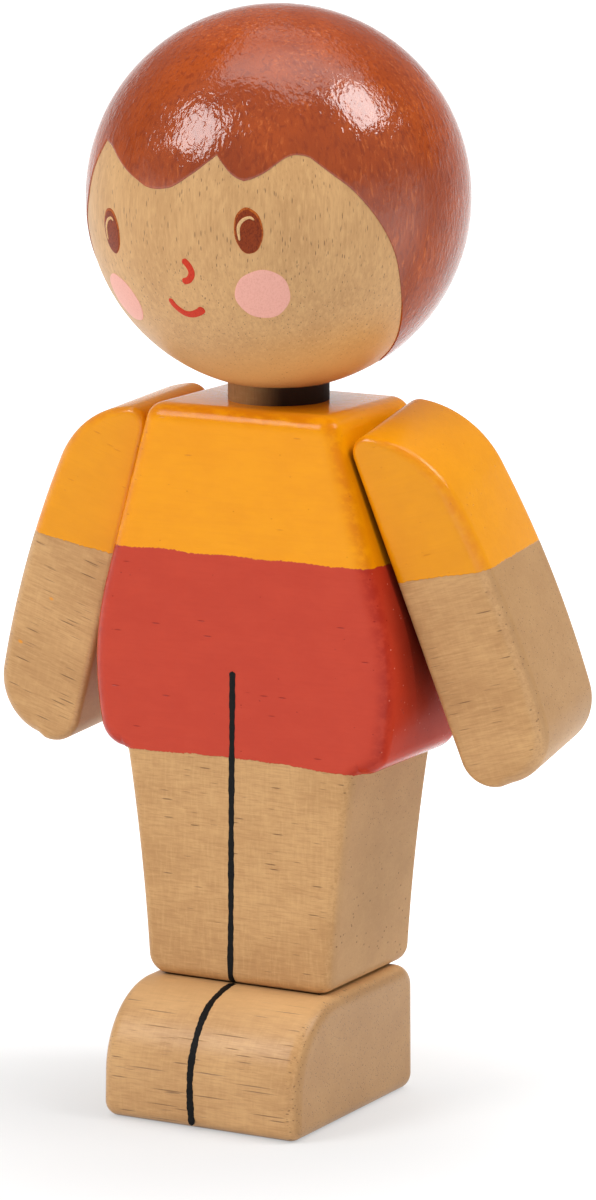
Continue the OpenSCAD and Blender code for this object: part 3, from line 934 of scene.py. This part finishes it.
def ball_patch(azimuth, elevation, half_w, half_h, lift=FILM_LIFT):
    """An oval film on the ball, closed inside the wood."""
    out = on_ball(azimuth, elevation).normalized()
    east = Vector((math.cos(math.radians(azimuth)), math.sin(math.radians(azimuth)), 0))
    east = Matrix.Rotation(math.radians(FACE_ROLL), 3, out) @ east
    north = out.cross(east)
    rows = [(k / PATCH_ROWS, lift) for k in range(1, PATCH_ROWS)]
    rows += [(0.97, lift), (0.99, 0.8 * lift), (1.0, 0.3 * lift), (1.0, -FILM_SINK)]
    rows += [(2 / 3, -FILM_SINK), (1 / 3, -FILM_SINK)]
    rings = []
    for share, height in rows:
        ring = []
        for i in range(PATCH_SIDES):
            a = 2 * math.pi * i / PATCH_SIDES
            uneven = 1 + PATCH_WOBBLE * (math.sin(3 * a + azimuth) + 0.6 * math.sin(7 * a - elevation))
            flat = (east * half_w * math.cos(a) + north * half_h * math.sin(a)) * share * uneven
            angle = flat.length / HEAD_R
            toward = flat.normalized()
            ring.append((out * math.cos(angle) + toward * math.sin(angle)) * (HEAD_R + height))
        rings.append(ring)
    return capped_rings(out * (HEAD_R + lift), rings, out * (HEAD_R - FILM_SINK))


def ball_stroke(places, width, lift=FILM_LIFT, taper=None):
    """A painted stroke on the ball through (azimuth, elevation) places."""
    path = curve_through([on_ball(*place) for place in places], FACE_STEP)
    path = [p.normalized() * HEAD_R for p in path]
    return ribbon([(p, p.normalized()) for p in path], stroke_widths(path, width, taper), lift, FILM_SINK)


eye_paint = film_material("eye_paint", EYE_BROWN, EYE_DEEP, FILM_ROUGHNESS)
eye_rim_paint = film_material("eye_rim_paint", EYE_RIM, EYE_BROWN, FILM_ROUGHNESS)
shine_paint = film_material("eye_shine_paint", EYE_SHINE, WOOD_DARK, DULL_FILM_ROUGHNESS)
lip_paint = film_material("lip_paint", LIP_RED, LIP_DEEP, FILM_ROUGHNESS)
cheek_paint = film_material("cheek_paint", CHEEK_PINK, CHEEK_DEEP, DULL_FILM_ROUGHNESS)
ink_paint = film_material("ink_line", INK, INK_GREY, INK_ROUGHNESS)

EYE_HALF_W = 1.02
EYE_HALF_H = 1.68
EYE_RIM_W = 0.1
EYE_RIM_RISE = 0.3
EYE_LIFT = 0.045
SHINE_LIFT = 0.065
SHINE_W = 0.3
NOSE_W = 0.54
MOUTH_W = 0.58
CHEEK_R = 2.12


def swell(share):
    """Width factor of a crescent: thin at both ends."""
    return 0.25 + 0.75 * math.sin(math.pi * min(1.0, 0.12 + 0.76 * share))


def mouth_width(share):
    """Width factor of the mouth: wider towards the doll's left."""
    return 0.8 + 0.35 * share


def face_piece(name, shape, material):
    """A painted film that rides on the head."""
    build(name, shape, material, "head", place=head_place)


# Places on the ball as (azimuth, elevation). The shine's path is counted from the middle of its eye.
EYES = {"right": (-30.3, -6.7), "left": (20.2, -3.2)}
CHEEKS = {"right": (-35.0, -28.5), "left": (24.0, -22.7)}
SHINE_PATH = [(-2.6, -2.6), (-2.9, 1.0), (-1.8, 3.2), (0.3, 4.2), (1.8, 3.5)]
for side, (azimuth, elevation) in EYES.items():
    rim = ball_patch(azimuth, elevation + EYE_RIM_RISE, EYE_HALF_W + EYE_RIM_W, EYE_HALF_H + EYE_RIM_W)
    face_piece(side + "_eye_rim", rim, eye_rim_paint)
    eye = ball_patch(azimuth, elevation, EYE_HALF_W, EYE_HALF_H, lift=EYE_LIFT)
    face_piece(side + "_eye", eye, eye_paint)
    shine = [(azimuth + a, elevation + e) for a, e in SHINE_PATH]
    face_piece(side + "_eye_shine", ball_stroke(shine, SHINE_W, SHINE_LIFT, swell), shine_paint)
for side, (azimuth, elevation) in CHEEKS.items():
    face_piece(side + "_cheek", ball_patch(azimuth, elevation, CHEEK_R, CHEEK_R), cheek_paint)
NOSE_PATH = [(-0.9, -12.3), (0.9, -14.2), (1.6, -16.6), (0.2, -18.7), (-2.2, -19.4)]
MOUTH_PATH = [(-9.1, -25.6), (-7.6, -28.2), (-4.9, -30.3), (-2, -30.7), (1.3, -29.6), (3.3, -28.1)]
face_piece("nose", ball_stroke(NOSE_PATH, NOSE_W), lip_paint)
face_piece("mouth", ball_stroke(MOUTH_PATH, MOUTH_W, taper=mouth_width), lip_paint)


# The line between the legs, drawn down the front of the body and over the feet

LINE_W = 0.5
FEET_LINE_W = 1.15 * LINE_W
LINE_STEP = 0.12
LINE_TURN = 84.0
LINE_TURN_STEPS = 12
LINE_LIFT = 0.025
LINE_TOP_Z = 35.6
BODY_LINE = [(-0.42, LINE_TOP_Z), (-0.45, 32), (-0.5, 28), (-0.56, 22), (-0.6, 16), (-0.66, 12.5)]


def line_wobble(share):
    """Uneven width of a line drawn by hand."""
    return 1 + 0.08 * math.sin(23 * share) + 0.07 * math.sin(71 * share + 1) + 0.06 * math.sin(190 * share)


def body_line():
    """The line down the body's front and round the legs' lower edge."""
    front_y = -BODY_DEPTH / 2
    flat = curve_through([(x, front_y, z) for x, z in BODY_LINE], LINE_STEP)
    path = [(p, Vector((0, -1, 0))) for p in flat]
    end_x = BODY_LINE[-1][0]
    centre = Vector((end_x, front_y + LEG_EDGE_R, FEET_H + LEG_EDGE_R))
    for i in range(LINE_TURN_STEPS + 1):
        a = math.radians(LINE_TURN * i / LINE_TURN_STEPS)
        out = Vector((0, -math.cos(a), -math.sin(a)))
        path.append((centre + out * LEG_EDGE_R, out))
    widths = stroke_widths([p for p, normal in path], LINE_W, line_wobble)
    return ribbon(path, widths, LINE_LIFT, FILM_SINK)


# Across the feet: (x, y) on their top, (x, degrees) round the toe's curve, and (x, z) below the curve
FEET_LINE_TOP = [(-0.66, -6.3)]
FEET_LINE_CURVE = [(-0.64, 2), (-0.65, 17), (-0.76, 29), (-0.73, 45), (-0.7, 55), (-0.68, 64), (-0.67, 79)]
FEET_LINE_FRONT = [(-0.66, 2.7), (-0.58, 1.4), (-0.5, 0.4)]


def feet_line():
    """The line over the feet's top, round the toe and down its front."""
    centre_y = TOE_Y + TOE_R
    centre_z = FEET_H - TOE_R
    knots = []
    for x, y in FEET_LINE_TOP:
        knots.append(Vector((x, y, FEET_H)))
    for x, turn in FEET_LINE_CURVE:
        a = math.radians(turn)
        knots.append(Vector((x, centre_y - TOE_R * math.sin(a), centre_z + TOE_R * math.cos(a))))
    for x, z in FEET_LINE_FRONT:
        knots.append(Vector((x, TOE_Y, z)))
    path = []
    for p in curve_through(knots, LINE_STEP):
        a = math.atan2(centre_y - p.y, p.z - centre_z)
        a = max(0.0, min(math.pi / 2, a))
        out = Vector((0, -math.sin(a), math.cos(a)))
        on = Vector((p.x, centre_y - TOE_R * math.sin(a), centre_z + TOE_R * math.cos(a)))
        if p.y > centre_y:
            on.y = p.y
        if p.z < centre_z:
            on.z = p.z
        path.append((on, out))
    widths = stroke_widths([p for p, normal in path], FEET_LINE_W, line_wobble)
    return ribbon(path, widths, LINE_LIFT, FILM_SINK)


build("leg_line", body_line(), ink_paint, "torso")
build("feet_line", feet_line(), ink_paint, "torso")

DOWELS = ("left_shoulder_peg", "right_shoulder_peg", "left_foot_dowel", "right_foot_dowel")
for name, material in [("neck_peg", neck_wood)] + [(name, dowel_wood) for name in DOWELS]:
    for material_slot in frame["nodes"][name].material_slots:
        material_slot.material = material


# Camera at the photograph's viewing angle

CAMERA_AZIMUTH = 28.836
CAMERA_ELEVATION = 10.921
CAMERA_DISTANCE = 468.884
CAMERA_AIM = Vector((0, 0, 45.2))
CAMERA_SHIFT = (1.51, -4.932)
FOCAL_PIXELS = 5946.8
IMAGE_HEIGHT = 1200
SENSOR = 36.0

azimuth = math.radians(CAMERA_AZIMUTH)
elevation = math.radians(CAMERA_ELEVATION)
camera_back = Vector((
    math.sin(azimuth) * math.cos(elevation),
    -math.cos(azimuth) * math.cos(elevation),
    math.sin(elevation),
))
camera_right = Vector((math.cos(azimuth), math.sin(azimuth), 0))
camera_up = camera_back.cross(camera_right)
camera_at = CAMERA_AIM + camera_right * CAMERA_SHIFT[0] + camera_up * CAMERA_SHIFT[1]
camera_at += camera_back * CAMERA_DISTANCE
camera_data = bpy.data.cameras.new("camera")
camera_data.sensor_width = SENSOR
camera_data.sensor_fit = "AUTO"
camera_data.lens = SENSOR * FOCAL_PIXELS / IMAGE_HEIGHT
camera = bpy.data.objects.new("camera", camera_data)
camera.matrix_world = Matrix.Translation(camera_at * MM) @ Matrix(
    (camera_right, camera_up, camera_back)).transposed().to_4x4()
bpy.context.scene.collection.objects.link(camera)
bpy.context.scene.camera = camera


# Floor, world and lights

def soft_light(name, across, up, toward, distance, size, power):
    """A square lamp aimed at the doll, placed by its direction as the camera sees it."""
    data = bpy.data.lights.new(name, "AREA")
    data.shape = "SQUARE"
    data.size = size
    data.energy = power
    lamp = bpy.data.objects.new(name, data)
    direction = (camera_right * across + camera_up * up + camera_back * toward).normalized()
    lamp.location = Vector((0, 0, HEAD_Z)) * MM + direction * distance
    lamp.rotation_euler = direction.to_track_quat("Z", "Y").to_euler()
    bpy.context.scene.collection.objects.link(lamp)


soft_light("left_softbox", across=-0.698, up=0.531, toward=0.479, distance=0.7, size=0.3, power=2.2)
soft_light("right_softbox", across=0.65, up=0.704, toward=0.28, distance=0.7, size=0.27, power=2.15)
soft_light("ceiling_softbox", across=0.08, up=0.995, toward=0.052, distance=0.8, size=0.75, power=3.4)

FLOOR_HALF = 3.0
FLOOR_CENTRE_Y = -0.014
FLOOR_SEEN = 0.42
FLOOR_BOUNCE = 0.8
# Painted shadow on the floor: its glow near the doll and far away, and the distances over which it changes
FLOOR_NEAR_LIGHT = 0.44
FLOOR_FAR_LIGHT = 1.0
FLOOR_NEAR = 0.006
FLOOR_FAR = 0.085
FLOOR_ROUGHNESS = 0.9


def seen_directly(tree):
    """1 for the rays by which the camera, a mirror or a glass shows the background."""
    path = tree.nodes.new("ShaderNodeLightPath")
    total = path.outputs["Is Camera Ray"]
    for name in ("Is Glossy Ray", "Is Transmission Ray"):
        add = tree.nodes.new("ShaderNodeMath")
        add.operation = "MAXIMUM"
        tree.links.new(total, add.inputs[0])
        tree.links.new(path.outputs[name], add.inputs[1])
        total = add.outputs[0]
    return total


def fade(tree, value, low, high, to_low, to_high):
    """A smooth change from to_low to to_high while value goes from low to high."""
    made = tree.nodes.new("ShaderNodeMapRange")
    made.interpolation_type = "SMOOTHSTEP"
    for socket, number in zip(made.inputs[1:5], (low, high, to_low, to_high)):
        socket.default_value = number
    tree.links.new(value, made.inputs[0])
    return made.outputs[0]


# The floor is white to the camera, has a painted shadow where its glow dims near the doll, and keeps its
# shadow
floor_mesh = bpy.data.meshes.new("floor")
floor_mesh.from_pydata(
    [(-FLOOR_HALF, -FLOOR_HALF, 0), (FLOOR_HALF, -FLOOR_HALF, 0),
     (FLOOR_HALF, FLOOR_HALF, 0), (-FLOOR_HALF, FLOOR_HALF, 0)], [], [(0, 1, 2, 3)])
floor = bpy.data.objects.new("floor", floor_mesh)
floor.location = (0, FLOOR_CENTRE_Y, 0)
bpy.context.scene.collection.objects.link(floor)
floor_material = bpy.data.materials.new("floor")
floor_material.use_nodes = True
floor_tree = floor_material.node_tree
floor_shader = floor_tree.nodes["Principled BSDF"]
floor_seen = seen_directly(floor_tree)
floor_shade = floor_tree.nodes.new("ShaderNodeMapRange")
floor_shade.inputs["To Min"].default_value = FLOOR_BOUNCE
floor_shade.inputs["To Max"].default_value = FLOOR_SEEN
floor_tree.links.new(floor_seen, floor_shade.inputs["Value"])
floor_tree.links.new(floor_shade.outputs[0], floor_shader.inputs["Base Color"])
floor_shader.inputs["Roughness"].default_value = FLOOR_ROUGHNESS
floor_shader.inputs["Specular IOR Level"].default_value = 0.0
floor_shader.inputs["Emission Color"].default_value = (1, 1, 1, 1)
floor_place = floor_tree.nodes.new("ShaderNodeTexCoord")
floor_reach = floor_tree.nodes.new("ShaderNodeVectorMath")
floor_reach.operation = "LENGTH"
floor_tree.links.new(floor_place.outputs["Object"], floor_reach.inputs[0])
# Painted shadow: the glow is dimmer near the doll
floor_glow_shadowed = fade(
    floor_tree, floor_reach.outputs["Value"], FLOOR_NEAR, FLOOR_FAR, FLOOR_NEAR_LIGHT, FLOOR_FAR_LIGHT)
floor_glow = floor_tree.nodes.new("ShaderNodeMath")
floor_glow.operation = "MULTIPLY"
floor_tree.links.new(floor_seen, floor_glow.inputs[0])
floor_tree.links.new(floor_glow_shadowed, floor_glow.inputs[1])
floor_tree.links.new(floor_glow.outputs[0], floor_shader.inputs["Emission Strength"])
floor_mesh.materials.append(floor_material)

# The world is white at the horizon and dimmer overhead, like a studio sweep
HORIZON_EDGE = 0.04
HORIZON_TOP = 0.3
HORIZON_LIGHT = 1.0
WORLD_LIGHT = 0.4
world = bpy.data.worlds.new("studio")
bpy.context.scene.world = world
world.use_nodes = True
world_tree = world.node_tree
background = world_tree.nodes["Background"]
background.inputs["Color"].default_value = (1, 1, 1, 1)
sky = world_tree.nodes.new("ShaderNodeTexCoord")
sky_parts = world_tree.nodes.new("ShaderNodeSeparateXYZ")
world_tree.links.new(sky.outputs["Generated"], sky_parts.inputs[0])
strength = fade(world_tree, sky_parts.outputs["Z"], HORIZON_EDGE, HORIZON_TOP, HORIZON_LIGHT, WORLD_LIGHT)
world_tree.links.new(strength, background.inputs["Strength"])

bpy.context.scene.view_settings.view_transform = "Standard"
